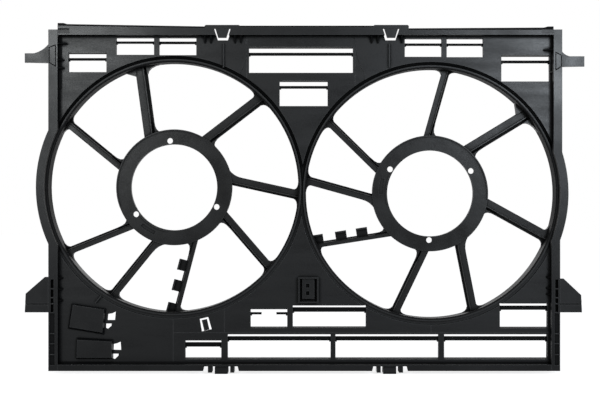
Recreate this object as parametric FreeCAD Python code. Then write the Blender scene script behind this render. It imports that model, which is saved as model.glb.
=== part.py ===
import FreeCAD, Part
import math
import os

# Twin-fan radiator shroud frame, in millimetres.
# X runs along the width, Z is up and Y is the depth. The face that seats on the radiator points to -Y.
# The origin is the middle of the footprint, at the height of the two bottom feet.

# Overall body: the two fan openings come first, and the edges follow them
DEPTH = 56.0
OPEN_R = 181.7
RING_WEB = 11.2
RING_MID_X = -3.453
RING_RIGHT_DROP = 8.9
RING_OVER_BOTTOM = 83.6
RING_UNDER_TOP = 49.5
LEFT_BULGE = 16.2
RIGHT_BULGE = 6.294
LOWER_RIGHT_STEP = 3.0
FOOT_DROP = 5.0
SIDE_RAIL_DROP = 4.0

# Perimeter wall and flange
WALL_T = 2.5
FLANGE_T = 2.8
LEFT_FLANGE_W = 10.8
RIGHT_FLANGE_W = 9.8
TOP_FLANGE_W = 9.2
BOTTOM_FLANGE_W = 6.7
BULGE_FLANGE_W = 9.0
TOP_LIP_H = 2.2
TOP_LIP_DEEP = 1.2
TOP_RISE_LEFT = 3.9
TOP_RISE_CENTRE = 1.6
TOP_DROP_RIGHT = 2.2
TOP_RAIL_SLOPE = 3.4
WALL_FOOT_W = 4.2
WALL_FOOT_H = 2.4
WALL_FOOT_LONG = 75.8
SILL_FOOT_W = 3.3
SILL_FOOT_H = 2.6

# Sheet between the wall and the fan rings
PANEL_SETBACK = 19.5
PANEL_T = 2.5
RECESS_DEEP = 0.9
RECESS_UNDER_W5 = 4.3
RECESS_LEFT = ((7.0, 0.0), (3.4, 20.8), (13.5, 53.8))
RECESS_RIGHT = ((3.3, 0.0), (6.4, 29.8), (16.5, 53.8))

# Fan rings
BARREL_T = 2.5
RIM_W = 4.3
RIM_PROUD = 2.0
GROOVE_W = 4.9
GROOVE_DEEP = 3.5
GROOVE_DRAFT = 0.8
MOUTH_LEAD = 2.4
BULGE_CLEAR = 3.6
BEAD_W = 3.0
BEAD_T = 4.0

# Stator modules
ARM_REAR_GAP = 4.0
ARM_DEPTH = 14.0
MODULE_TURN = -66.4
MOTOR_BORE_R = 62.9
MOTOR_BAND_W = 21.9
MOTOR_PLATE_T = 3.0
MOTOR_RIM_T = 2.4
MOTOR_NECK_T = 2.4
MOTOR_NECK_DEEP = 10.0
SCREW_FROM_BORE = 5.4
SCREW_R = 4.2
SCREW_ANGLES = (95.2, 215.2, 335.2)
BOSS_R = 8.0
BOSS_SIDES = 8
BOSS_DEEP = 7.0
LIP_T = 1.7
LIP_PROUD = 2.0
LIP_SPAN = (60.0, 200.0)
NECK_LIP_SPAN = (218.0, 262.0)
NECK_LIP_BACK = 1.0
CABLE_SLOT_SPAN = (229.0, 247.0)
CABLE_SLOT_OUT = 6.6
CABLE_SLOT_W = 5.5
CABLE_SLOT_DEEP = 1.6
RADIAL_RIB_ANGLES = (20.0, 60.0, 130.0, 165.0, 190.0, 250.0, 300.0)
RADIAL_RIB_T = 1.8

# Arms: direction, sideways offset of the middle, width, side of the root flare (-1 is clockwise)
ARMS = (
    ("arm_1", 37.5, 26.2, 16.2, -1),
    ("arm_2", 97.7, 25.0, 17.3, -1),
    ("arm_3", 140.6, 26.0, 11.6, -1),
    ("arm_4", 201.9, 28.9, 10.8, -1),
    ("arm_5", 230.9, 29.3, 12.2, 1),
    ("arm_6", 310.8, 28.5, 12.7, -1),
    ("arm_7", 347.6, 28.1, 13.8, 1),
)
WIDEST_ARM = "arm_2"
CABLE_ARM_TURN = 255.3
CABLE_ARM_OFFSET = 49.0
CABLE_ARM_W = 8.4
TOOTH_OUT = 10.7
TOOTH_LONG = 16.4
TOOTH_T = 2.4
TOOTH_LIP = 4.0
TOOTH_FROM_RING = (82.7, 51.7, 17.2)
ARM_FACE_T = 3.0
ARM_WEB_T = 2.4
ARM_RIDGE_PROUD = 1.8
ARM_STEP_DOWN = 4.0
ARM_EDGE = 0.8
ARM_RIDGE_SLOPE = 0.6
ARM_WEB_ROOT = 1.0
FLARE_RUNS = 4
FLARE_LONG = 17.0
FLARE_WIDE = 8.0
LANDING_LONG = 6.5
LANDING_WIDE = 12.5
TIP_FLARE_LONG = 11.0
TIP_FLARE_WIDE = 22.0
TIP_CHORD_LONG = 10.0
TIP_CHORD_WIDE = 15.0

# Ram-air windows in the upper row and between the rings:
# drop below the top wall, height, drop of the flap bar below the window's top, height of the bar
UPPER_WINDOWS = {
    "w1": (23.9, 28.3, 7.6, 3.3),
    "w2": (2.2, 24.9, 5.1, 2.9),
    "w3": (2.2, 25.4, 5.3, 3.2),
    "w4": (15.8, 37.4, 8.0, 3.8),
    "w5": (64.8, 36.7, 7.3, 3.6),
    "w6": (3.6, 26.4, 6.6, 3.1),
    "w7": (3.6, 26.9, 6.8, 2.9),
    "w8": (27.8, 38.0, 7.3, 3.6),
}
WINDOWS_BY_WALL = ("w2", "w3", "w6", "w7")
# The lower rows: height over the bottom wall, then the same three sizes
LOWER_WINDOWS = {
    "w9": (6.5, 26.8, 3.1, 6.1),
    "w10": (6.5, 35.8, 3.4, 5.8),
    "w11": (6.5, 35.8, 3.4, 5.8),
    "w12": (6.5, 35.8, 3.4, 5.8),
    "w13": (51.8, 26.9, 4.7, 3.0),
    "w14": (52.1, 32.0, 2.9, 6.4),
    "w15": (51.6, 35.4, 3.5, 5.8),
}
# Widths of windows that don't close a row, posts between windows, and distances to walls and latches
W2_W = 55.0
W3_W = 54.0
W6_W = 53.6
W7_W = 53.0
W9_W = 52.4
W13_W = 53.2
W15_W = 69.0
POST_1_2 = 14.2
POST_2_3 = 7.4
POST_6_7 = 7.3
POST_7_8 = 26.4
POST_9_10 = 9.3
POST_10_11 = 7.1
POST_11_12 = 8.2
POST_13_14 = 8.2
W1_TO_WALL = 13.1
W3_TO_LATCH = 38.7
W4_TO_LEFT_LATCH = 37.8
W4_TO_RIGHT_LATCH = 54.4
W5_TO_LEFT_RING = 4.4374
W5_TO_RIGHT_RING = 7.5786
W6_TO_LATCH = 20.9
W8_TO_WALL = 3.2
W9_FROM_RING_AXIS = 17.3
W12_TO_WALL = 6.8
W13_FROM_RING_AXIS = 112.3
W14_TO_RING_AXIS = 94.7
W15_TO_WALL = 6.4
FRAME_T = 1.9
FRAME_DEEP = 26.0
FRAME_BY_WALL = 10.0
FRAME_SIDE = 9.0
FRAME_SHALLOW = 7.0
BAR_SETBACK = 3.0
BAR_DEEP = 9.0
BAR_EDGE = 0.9
BAR_EYE_W = 2.0
BAR_EYE_UP = 1.6
BAR_EYE_DEEP = 5.0
STUB_LONG = 15.8
GRILLE_OVER_WINDOWS = 2.5
CENTRE_PANEL_MARGIN = 3.2

# Latches in the top rail, placed from the ring axes
LEFT_LATCH_IN = 72.1
RIGHT_LATCH_IN = 59.0
LATCH_ROOT_DROP = 2.5
LATCH_SLOT_TOP_W = 24.0
LATCH_SLOT_LOW_W = 14.6
LATCH_SLOT_GAP = 1.9
LATCH_TONGUE_LONG = 13.4
LATCH_TONGUE_T = 2.4
LATCH_HOOK_H = 3.6
LATCH_HOOK_OUT = 2.2
LATCH_BLOCK_W = 51.0
LATCH_BLOCK_UP = 2.6
LATCH_BLOCK_EDGE = 1.6
LATCH_RIB_LONG = 35.0
LATCH_RIB_PROUD = 4.0
LATCH_RIB_ASIDE = (1.0, -1.8)
FLEX_GAP = 0.3

# Feet under the bottom rail, placed from the latches above them
FOOT_ASIDE = (-2.0, -1.6)
FOOT_NOTCH_W = 54.0
FOOT_NOTCH_SLANT = 3.0
FOOT_W = 18.6
FOOT_DEEP = 42.0
FOOT_SETBACK = 6.0
PRONG_W = 5.8
PRONG_OUT = 19.0
PRONG_UP = 2.4
PRONG_SHORT = 12.0
FOOT_CHAMFER = 2.0

# Ears: how far they reach past the flange, and their places below the top edge and over the bottom edge
EAR_LONG_LEFT = 33.9
EAR_LONG_RIGHT = 31.9
EAR_T = 4.0
EAR_RIB_T = 2.0
EAR_RIB_DEEP = 9.0
EAR_RIB_SHORT = 6.0
UPPER_EAR_DROPS = (38.3, 42.6)
UPPER_EAR_HEIGHTS = (13.6, 14.9)
UPPER_EAR_FLARES = (13.0, 6.5)
UPPER_EAR_FLARE_REACH = (0.62, 0.34)
EAR_POCKET_DEEP = 1.6
EAR_POCKET_LINE = 1.1
EAR_POCKET_MARGIN = 0.8
EAR_POCKET_DOWN = 5.8
EAR_POCKET_SLANT = 4.3
LOWER_EAR_UP = 84.6
LOWER_EAR_HEIGHTS = (51.2, 48.8)
LOWER_EAR_TIPS = (27.0, 25.0)
LOWER_EAR_LONG_RIGHT = 31.5
LOWER_EAR_SHOULDER = 5.0
LOWER_EAR_LEAN = 1.2
SLIDE_RIB_UP = 7.0
SLIDE_RIB_H = 4.2
SLIDE_RIB_GAP = 1.6
SLIDE_RIB_OUT = 3.2
SLIDE_GROOVE_DEEP = 1.2

# Small ribs, and pockets in the side flanges: heights of the ribs between them over the bottom edge
GUSSET_T = 1.8
GUSSET_H = 15.0
TOP_GUSSET_LONG = 11.0
LONG_GUSSET = 13.0
SHORT_GUSSET = 8.0
STUB_GUSSET = 3.0
LOW_GUSSET = 6.0
LEFT_GUSSET_DROPS = (11.2, 35.1, 46.7)
RIGHT_GUSSET_DROPS = (20.6, 52.5)
LEFT_GUSSET_RISES = (91.8, 108.5, 124.4)
RIGHT_GUSSET_RISES = (101.2, 109.9, 125.9)
LEFT_LATCH_GUSSETS = (-25.7, -17.0, 17.8, 26.4)
RIGHT_LATCH_GUSSETS = (-27.6, -18.5, 16.2)
POCKET_RISES = (7.8, 23.7, 39.5, 53.9, 84.1, 97.0, 105.7, 118.6, 133.0)
POCKET_DEEP = 1.6
POCKET_RIB = 1.6
POCKET_MARGIN = 1.7
CHANNEL_ROWS = 4
CHANNEL_DEEP = 7.0
CHANNEL_W = 4.4
CHANNEL_FLOOR = 2.0

# Wire clip, placed from the window under it
CLIP_IN = 21.0
CLIP_OVER_WINDOW = 14.9
CLIP_TILT = 13.0
CLIP_W = 7.8
CLIP_LONG = 16.0
CLIP_SLOT = 3.4
CLIP_TOP_SLOT = 2.4
CLIP_SLOT_TAPER = 1.0
CLIP_T = 2.2
CLIP_BARB = 2.4
CLIP_BARB_LONG = 3.0

# Connector bracket between the rings
BRACKET_ASIDE = 8.953
BRACKET_UP = 88.3
BRACKET_H = 37.5
BRACKET_W = 29.5
BRACKET_OUT = 13.0
BRACKET_WALL = 2.2
BRACKET_PLATE_W = 17.5
BRACKET_PLATE_BACK = 3.0
BRACKET_PLATE_UP = 4.0
BRACKET_SLOT_RISES = (11.5, 22.5)
BRACKET_SLOT_H = 5.5
BRACKET_SLOT_W = 5.0
BRACKET_SLOT_ASIDE = 1.0
BRACKET_SLOT_FLOOR = 2.0

# Control-module pads, from the left wall and the bottom wall, with the run of each sloping side
PAD_OUT = 8.0
PAD_WALL = 2.2
UPPER_PAD = ((17.8, 87.6), (68.6, 79.9), (65.4, 41.6), (12.4, 50.6))
UPPER_PAD_SLOPES = (1.6, 2.6, 3.4, 2.8)
LOWER_PAD = ((25.2, 38.1), (78.4, 35.2), (78.4, 7.0), (24.1, 7.0))
LOWER_PAD_SLOPES = (3.0, 1.6, 2.0, 1.6)
PAD_SLOTS = (
    ((70.2, 63.2), (70.9, 71.9), (77.0, 72.9), (81.9, 75.4), (80.8, 63.2)),
    ((68.0, 58.0), (75.9, 58.0), (75.6, 54.8), (70.5, 50.5), (67.8, 51.9)),
    ((78.7, 20.0), (79.2, 28.3), (84.2, 29.4), (89.0, 31.6), (89.7, 19.7)),
    ((78.2, 14.2), (86.1, 14.2), (85.7, 11.3), (80.6, 6.5), (78.3, 7.2)),
)
PAD_STAY = ((52.3, 88.2), (61.1, 98.3))
PAD_STAY_H = 5.0

# Corner clips at the ends of the top rail: a hollow block with bevelled edges and a peak on the rail's end
CORNER_CLIP_IN = 1.0
CORNER_CLIP_LONG = 16.0
CORNER_CLIP_DEEP = 6.8
CORNER_CLIP_H = 6.8
CORNER_CLIP_EDGE = 1.6
CORNER_CLIP_WALL = 1.4
CORNER_CLIP_BORE = 6.0
CORNER_PEAK_LONG = 14.0
CORNER_PEAK_H = 1.6

# Values worked out from the sizes above
FRONT = -DEPTH / 2
REAR = DEPTH / 2
PANEL_Y0 = FRONT + PANEL_SETBACK
PANEL_Y1 = PANEL_Y0 + PANEL_T
ARM_Y1 = REAR - ARM_REAR_GAP
ARM_Y0 = ARM_Y1 - ARM_DEPTH
RING_SPACING = 2 * OPEN_R + RING_WEB
RING_RUN = math.sqrt(RING_SPACING ** 2 - RING_RIGHT_DROP ** 2)
BODY_BOTTOM = FOOT_DROP
RING_LEFT_Z = BODY_BOTTOM + RING_OVER_BOTTOM + OPEN_R
BODY_TOP = RING_LEFT_Z + OPEN_R + RING_UNDER_TOP
SIDE_RAIL_TOP = BODY_TOP - SIDE_RAIL_DROP
LEFT_CENTRE = (RING_MID_X - RING_RUN / 2, RING_LEFT_Z)
RIGHT_CENTRE = (RING_MID_X + RING_RUN / 2, RING_LEFT_Z - RING_RIGHT_DROP)
MID_Z = (LEFT_CENTRE[1] + RIGHT_CENTRE[1]) / 2
MID_TILT = math.degrees(math.atan2(-RING_RIGHT_DROP, RING_RUN))
WALL_LEFT = LEFT_CENTRE[0] - OPEN_R + LEFT_BULGE
WALL_RIGHT = RIGHT_CENTRE[0] + OPEN_R - RIGHT_BULGE
WALL_BOTTOM = BODY_BOTTOM + BOTTOM_FLANGE_W + WALL_T
WALL_TOP = BODY_TOP - TOP_FLANGE_W - WALL_T
BODY_LEFT = WALL_LEFT - WALL_T - LEFT_FLANGE_W
BODY_RIGHT = WALL_RIGHT + WALL_T + RIGHT_FLANGE_W
RIM_OUT_R = OPEN_R + RIM_W
JOINT_R = RIM_OUT_R + GROOVE_W
RIM_Y0 = PANEL_Y0 - RIM_PROUD
GROOVE_Y0 = PANEL_Y0 + GROOVE_DEEP
GROOVE_Y1 = GROOVE_Y0 + PANEL_T
BARREL_OUT_R = OPEN_R + BARREL_T
BULGE_R = OPEN_R + BULGE_CLEAR
MOTOR_OUT_R = MOTOR_BORE_R + MOTOR_BAND_W
SCREW_CIRCLE_R = MOTOR_BORE_R + SCREW_FROM_BORE
CABLE_SLOT_R = MOTOR_BORE_R + CABLE_SLOT_OUT
LATCH_X = (LEFT_CENTRE[0] + LEFT_LATCH_IN, RIGHT_CENTRE[0] - RIGHT_LATCH_IN)
LATCH_ROOT_Z = BODY_TOP - LATCH_ROOT_DROP
FOOT_X = (LATCH_X[0] + FOOT_ASIDE[0], LATCH_X[1] + FOOT_ASIDE[1])
UPPER_EAR_TOPS = tuple(BODY_TOP - drop for drop in UPPER_EAR_DROPS)
LOWER_EAR_Z = BODY_BOTTOM + LOWER_EAR_UP
BRACKET_X = RING_MID_X + BRACKET_ASIDE
BRACKET_Z = WALL_BOTTOM + BRACKET_UP
FAR = 1000.0
PAST = 5.0


def ring_edge(centre, side, z):
    """Where the outer circle of a fan ring stands at a height, to one side of its axis."""
    return centre[0] + side * math.sqrt(max(JOINT_R ** 2 - (z - centre[1]) ** 2, 0.0))


def window_spans():
    """Left and right edge of every window, worked along each row from walls, latches and ring axes."""
    w3_right = LATCH_X[0] - W3_TO_LATCH
    w3_left = w3_right - W3_W
    w2_right = w3_left - POST_2_3
    w2_left = w2_right - W2_W
    w6_left = LATCH_X[1] + W6_TO_LATCH
    w7_left = w6_left + W6_W + POST_6_7
    w7_right = w7_left + W7_W
    w9_left = LEFT_CENTRE[0] + W9_FROM_RING_AXIS
    w10_left = w9_left + W9_W + POST_9_10
    w12_right = WALL_RIGHT - W12_TO_WALL
    long_w = (w12_right - w10_left - POST_10_11 - POST_11_12) / 3
    w11_left = w10_left + long_w + POST_10_11
    w13_left = LEFT_CENTRE[0] + W13_FROM_RING_AXIS
    w15_right = WALL_RIGHT - W15_TO_WALL
    w5_low = WALL_TOP - UPPER_WINDOWS["w5"][0] - UPPER_WINDOWS["w5"][1]
    w5_left = ring_edge(LEFT_CENTRE, 1, w5_low) + W5_TO_LEFT_RING
    w5_right = ring_edge(RIGHT_CENTRE, -1, w5_low) - W5_TO_RIGHT_RING
    return {
        "w1": (WALL_LEFT + W1_TO_WALL, w2_left - POST_1_2),
        "w2": (w2_left, w2_right),
        "w3": (w3_left, w3_right),
        "w4": (LATCH_X[0] + W4_TO_LEFT_LATCH, LATCH_X[1] - W4_TO_RIGHT_LATCH),
        "w5": (w5_left, w5_right),
        "w6": (w6_left, w6_left + W6_W),
        "w7": (w7_left, w7_right),
        "w8": (w7_right + POST_7_8, WALL_RIGHT - W8_TO_WALL),
        "w9": (w9_left, w9_left + W9_W),
        "w10": (w10_left, w10_left + long_w),
        "w11": (w11_left, w11_left + long_w),
        "w12": (w12_right - long_w, w12_right),
        "w13": (w13_left, w13_left + W13_W),
        "w14": (w13_left + W13_W + POST_13_14, RIGHT_CENTRE[0] - W14_TO_RING_AXIS),
        "w15": (w15_right - W15_W, w15_right),
    }


def window_table():
    """Left, right, bottom and top of every window, then bottom and top of its flap bar."""
    table = {}
    for name, (x0, x1) in window_spans().items():
        if name in UPPER_WINDOWS:
            drop, height, bar_drop, bar_h = UPPER_WINDOWS[name]
            top = WALL_TOP - drop
        else:
            rise, height, bar_drop, bar_h = LOWER_WINDOWS[name]
            top = WALL_BOTTOM + rise + height
        table[name] = (x0, x1, top - height, top, top - bar_drop - bar_h, top - bar_drop)
    return table


WINDOWS = window_table()
GRILLE_TOP = WINDOWS["w10"][3] + GRILLE_OVER_WINDOWS
CLIP_X = WINDOWS["w9"][1] - CLIP_IN
CLIP_Z = WINDOWS["w9"][3] + CLIP_OVER_WINDOW


def block(x0, x1, y0, y1, z0, z1):
    """Box between two values on each axis."""
    return Part.makeBox(x1 - x0, y1 - y0, z1 - z0, FreeCAD.Vector(x0, y0, z0))


def disc(centre, radius, y0, y1):
    """Cylinder about an axis along Y."""
    start = FreeCAD.Vector(centre[0], y0, centre[1])
    return Part.makeCylinder(radius, y1 - y0, start, FreeCAD.Vector(0, 1, 0))


def band(centre, inner, outer, y0, y1):
    """Ring of rectangular section about an axis along Y."""
    return disc(centre, outer, y0, y1).cut(disc(centre, inner, y0 - PAST, y1 + PAST))


def flat_face(spots):
    """Plane face inside a closed run of straight edges."""
    return Part.Face(Part.makePolygon(spots + spots[:1]))


def prism(points, y0, y1):
    """Polygon in the XZ plane pushed along Y."""
    return flat_face([FreeCAD.Vector(x, y0, z) for x, z in points]).extrude(FreeCAD.Vector(0, y1 - y0, 0))


def union(shapes):
    """All shapes as one."""
    return shapes[0].multiFuse(shapes[1:]).removeSplitter() if len(shapes) > 1 else shapes[0]


def runs(spots):
    """Straight edges from each point to the next."""
    return [Part.makeLine(a, b) for a, b in zip(spots, spots[1:])]


def polar(centre, radius, degrees):
    """Point in the XZ plane at a radius and an angle, counted anticlockwise in the front view."""
    turn = math.radians(degrees)
    return (centre[0] + radius * math.cos(turn), centre[1] + radius * math.sin(turn))


def wedge(centre, start, end, radius, y0, y1):
    """Pie slice between two angles, used to keep a stretch of a ring."""
    steps = max(2, int(math.ceil((end - start) / 40.0)))
    reach = radius / math.cos(math.radians((end - start) / steps / 2))
    rim = [polar(centre, reach, start + (end - start) * i / steps) for i in range(steps + 1)]
    return prism([centre] + rim, y0, y1)


def from_corner(points):
    """Points given from the left wall and the bottom wall, in the part's own frame."""
    return [(WALL_LEFT + x, WALL_BOTTOM + z) for x, z in points]


def save(name, shape):
    """Write one node, keeping only its solids."""
    solids = shape.Solids
    result = solids[0] if len(solids) == 1 else Part.makeCompound(solids)
    result.exportStep("parts/" + name + ".step")


# Perimeter: the tray inside the wall, the wall and the flange

def tray(grow, y0, y1):
    """Space inside the perimeter wall, with its two bulges, grown outwards by a thickness."""
    upper = block(WALL_LEFT - grow, WALL_RIGHT + grow, y0, y1, MID_Z, WALL_TOP + grow)
    lower_right = WALL_RIGHT - LOWER_RIGHT_STEP + grow
    lower = block(WALL_LEFT - grow, lower_right, y0, y1, WALL_BOTTOM - grow, MID_Z)
    return union([upper, lower,
                  disc(LEFT_CENTRE, BULGE_R + grow, y0, y1),
                  disc(RIGHT_CENTRE, BULGE_R + grow, y0, y1)])


def top_profile():
    """Outline above the top wall: sloping left run, raised middle and lower right run."""
    left_block = LATCH_X[0] - LATCH_BLOCK_W / 2
    right_block = LATCH_X[1] + LATCH_BLOCK_W / 2
    left_top = BODY_TOP + TOP_RISE_LEFT
    right_top = BODY_TOP - TOP_DROP_RIGHT / 2
    return [(WALL_LEFT, WALL_TOP - PAST), (WALL_LEFT, left_top + CORNER_PEAK_H),
            (WALL_LEFT + CORNER_PEAK_LONG * 0.6, left_top + CORNER_PEAK_H),
            (WALL_LEFT + CORNER_PEAK_LONG, left_top), (left_block, left_top - TOP_RAIL_SLOPE),
            (left_block, BODY_TOP + TOP_RISE_CENTRE), (right_block, BODY_TOP + TOP_RISE_CENTRE),
            (right_block, BODY_TOP - TOP_DROP_RIGHT), (WALL_RIGHT - CORNER_PEAK_LONG, right_top),
            (WALL_RIGHT - CORNER_PEAK_LONG * 0.6, right_top + CORNER_PEAK_H),
            (WALL_RIGHT, right_top + CORNER_PEAK_H), (WALL_RIGHT, WALL_TOP - PAST)]


def flange_outline(y0, y1):
    """Outer shape of the flange, without the top rail."""
    left = block(BODY_LEFT, RING_MID_X, y0, y1, BODY_BOTTOM, SIDE_RAIL_TOP)
    right = block(RING_MID_X, BODY_RIGHT, y0, y1, MID_Z, SIDE_RAIL_TOP)
    low_right = block(RING_MID_X, BODY_RIGHT - LOWER_RIGHT_STEP, y0, y1, BODY_BOTTOM, MID_Z)
    out = BULGE_R + WALL_T + BULGE_FLANGE_W
    return union([left, right, low_right, disc(LEFT_CENTRE, out, y0, y1), disc(RIGHT_CENTRE, out, y0, y1)])


def perimeter():
    """Wall and flange all round, before they are parted into rails."""
    wall = tray(WALL_T, FRONT, PANEL_Y1).cut(tray(0, FRONT - PAST, PANEL_Y1 + PAST))
    flange_y1 = FRONT + FLANGE_T
    flange = flange_outline(FRONT, flange_y1).fuse(prism(top_profile(), FRONT, flange_y1))
    flange = flange.cut(tray(0, FRONT - PAST, flange_y1 + PAST))
    return union([wall, flange])


def side_foot():
    """Sloping foot where the upper left wall meets the sheet."""
    z1 = WALL_TOP
    z0 = z1 - WALL_FOOT_LONG
    points = [(WALL_LEFT, PANEL_Y0), (WALL_LEFT, PANEL_Y0 - WALL_FOOT_H), (WALL_LEFT + WALL_FOOT_W, PANEL_Y0)]
    return flat_face([FreeCAD.Vector(x, y, z0) for x, y in points]).extrude(FreeCAD.Vector(0, 0, z1 - z0))


def sill_foot():
    """Sloping foot where the bottom wall meets the sheet."""
    x0 = WALL_LEFT
    x1 = WALL_RIGHT - LOWER_RIGHT_STEP
    points = [(PANEL_Y0, WALL_BOTTOM), (PANEL_Y0 - SILL_FOOT_H, WALL_BOTTOM), (PANEL_Y0, WALL_BOTTOM + SILL_FOOT_W)]
    return flat_face([FreeCAD.Vector(x0, y, z) for y, z in points]).extrude(FreeCAD.Vector(x1 - x0, 0, 0))


# Windows

def window_hole(name, y0, y1, grow=0.0):
    """Through opening of one window."""
    x0, x1, z0, z1 = WINDOWS[name][:4]
    return block(x0 - grow, x1 + grow, y0, y1, z0 - grow, z1 + grow)


def window_frame(name):
    """Duct walls behind one window, deep on the side away from the middle, with its flap bar across."""
    x0, x1, z0, z1, bar_z0, bar_z1 = WINDOWS[name]
    y1 = PANEL_Y1 + (FRAME_BY_WALL if name in WINDOWS_BY_WALL else FRAME_DEEP)
    walls = window_hole(name, PANEL_Y1, y1, FRAME_T).cut(window_hole(name, PANEL_Y1 - PAST, y1 + PAST))
    deep_z, shallow_z = (z1, z0) if name in UPPER_WINDOWS else (z0, z1)
    side = 1 if deep_z > shallow_z else -1
    walls = walls.cut(side_cut(x0 - PAST, x1 + PAST, deep_z, shallow_z - side * PAST, y1))
    bar_y0 = PANEL_Y0 + BAR_SETBACK
    if name == "w13":
        spans = [(x0, x0 + STUB_LONG), (x1 - STUB_LONG, x1)]
    else:
        spans = [(x0, x1)]
    bars = [flap_bar(a, b, bar_y0, bar_z0, bar_z1) for a, b in spans]
    eyes = [block(a, a + BAR_EYE_W, bar_y0, bar_y0 + BAR_EYE_DEEP, bar_z0 - BAR_EYE_UP, bar_z1)
            for a in (x0, x1 - BAR_EYE_W)]
    keep = window_hole(name, FRONT, REAR)
    shape = union([walls] + [bar.common(keep) for bar in bars + eyes])
    for centre in (LEFT_CENTRE, RIGHT_CENTRE):
        shape = shape.cut(ring_envelope(centre))
    return shape


def side_cut(x0, x1, deep_z, shallow_z, deep_y):
    """Cut that leaves one wall of a duct deep, and the others shallow with sloping sides."""
    points = [(PANEL_Y1 + FRAME_SIDE, deep_z), (PANEL_Y1 + FRAME_SHALLOW, shallow_z),
              (deep_y + PAST, shallow_z), (deep_y + PAST, deep_z)]
    return flat_face([FreeCAD.Vector(x0, y, z) for y, z in points]).extrude(FreeCAD.Vector(x1 - x0, 0, 0))


def flap_bar(x0, x1, y0, z0, z1):
    """Bar that a flap hangs from: a flat strip with bevelled front edges."""
    y1 = y0 + BAR_DEEP
    edge = min(BAR_EDGE, (z1 - z0) * 0.3)
    points = [(y0, z0 + edge), (y0, z1 - edge), (y0 + edge, z1), (y1, z1), (y1, z0), (y0 + edge, z0)]
    return flat_face([FreeCAD.Vector(x0, y, z) for y, z in points]).extrude(FreeCAD.Vector(x1 - x0, 0, 0))


# Fan rings

def ring_profile(centre):
    """Section of a fan ring: joint to the sheet, groove, proud rim, lead-in of the mouth, barrel and bead."""
    back_r = JOINT_R + GROOVE_DRAFT
    outline = [(JOINT_R, PANEL_Y1), (JOINT_R, PANEL_Y0), (JOINT_R - GROOVE_DRAFT, GROOVE_Y0),
               (RIM_OUT_R, GROOVE_Y0), (RIM_OUT_R, RIM_Y0), (OPEN_R + MOUTH_LEAD, RIM_Y0),
               (OPEN_R, RIM_Y0 + MOUTH_LEAD), (OPEN_R, REAR), (BARREL_OUT_R + BEAD_W, REAR),
               (BARREL_OUT_R, REAR - BEAD_T), (BARREL_OUT_R, GROOVE_Y1), (back_r, GROOVE_Y1), (back_r, PANEL_Y1)]
    return flat_face([FreeCAD.Vector(centre[0] + radius, y, centre[1]) for radius, y in outline])


def half_space(side):
    """Everything on one side of the plane midway between the two rings."""
    x0, x1 = (RING_MID_X - FAR, RING_MID_X) if side < 0 else (RING_MID_X, RING_MID_X + FAR)
    shape = block(x0, x1, -FAR, FAR, MID_Z - FAR, MID_Z + FAR)
    shape.rotate(FreeCAD.Vector(RING_MID_X, 0, MID_Z), FreeCAD.Vector(0, -1, 0), MID_TILT)
    return shape


def fan_ring(centre, side):
    """Shell around one fan, from the sheet to the rear bead."""
    axis_end = FreeCAD.Vector(0, 1, 0)
    shape = ring_profile(centre).revolve(FreeCAD.Vector(centre[0], 0, centre[1]), axis_end, 360)
    shape = shape.common(half_space(side))
    inside = tray(0, FRONT - PAST, PANEL_Y1)
    under = tray(WALL_T, PANEL_Y1, GROOVE_Y1)
    behind = disc(centre, BARREL_OUT_R + BEAD_W + PAST, GROOVE_Y1, REAR + PAST)
    shape = shape.common(inside.fuse(under).fuse(behind)).removeSplitter()
    for name in WINDOWS:
        shape = shape.cut(window_hole(name, FRONT, REAR + PAST))
    return shape


def ring_envelope(centre):
    """Space that the mouth and the barrel of a ring take, kept clear of the window ducts."""
    mouth = disc(centre, JOINT_R + GROOVE_DRAFT, FRONT, GROOVE_Y1)
    barrel = disc(centre, BARREL_OUT_R + BEAD_W, FRONT, REAR + PAST)
    return mouth.fuse(barrel)


# Stator modules

def motor_ring(centre, turn):
    """Annulus that carries one motor: plate, rim, neck, screw bosses, lips and cable slot."""
    neck_y1 = ARM_Y0 + MOTOR_NECK_DEEP
    plate_y1 = ARM_Y0 + MOTOR_PLATE_T
    neck_lip = MOTOR_BORE_R + NECK_LIP_BACK
    parts = [band(centre, MOTOR_BORE_R, MOTOR_OUT_R, ARM_Y0, plate_y1),
             band(centre, MOTOR_OUT_R - MOTOR_RIM_T, MOTOR_OUT_R, ARM_Y0, ARM_Y1),
             band(centre, MOTOR_BORE_R, MOTOR_BORE_R + MOTOR_NECK_T, ARM_Y0, neck_y1)]
    for angle in SCREW_ANGLES:
        spot = polar(centre, SCREW_CIRCLE_R, angle + turn)
        boss = prism([polar(spot, BOSS_R, angle + turn + (i + 0.5) * 360.0 / BOSS_SIDES) for i in range(BOSS_SIDES)],
                     ARM_Y0, ARM_Y0 + BOSS_DEEP)
        parts.append(boss.cut(disc(centre, MOTOR_BORE_R, FRONT, REAR)))
    for angle in RADIAL_RIB_ANGLES:
        parts.append(radial_rib(centre, angle + turn, plate_y1, neck_y1))
    parts.append(lip(centre, MOTOR_OUT_R - LIP_T, MOTOR_OUT_R, LIP_SPAN, turn))
    parts.append(lip(centre, neck_lip, neck_lip + LIP_T, NECK_LIP_SPAN, turn))
    shape = union(parts)
    slot = band(centre, CABLE_SLOT_R, CABLE_SLOT_R + CABLE_SLOT_W, ARM_Y0 - PAST, ARM_Y0 + CABLE_SLOT_DEEP)
    shape = shape.cut(slot.common(wedge(centre, CABLE_SLOT_SPAN[0] + turn, CABLE_SLOT_SPAN[1] + turn,
                                        MOTOR_OUT_R, FRONT, REAR)))
    for angle in SCREW_ANGLES:
        spot = polar(centre, SCREW_CIRCLE_R, angle + turn)
        shape = shape.cut(disc(spot, SCREW_R, FRONT, REAR))
    return shape.removeSplitter()


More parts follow.
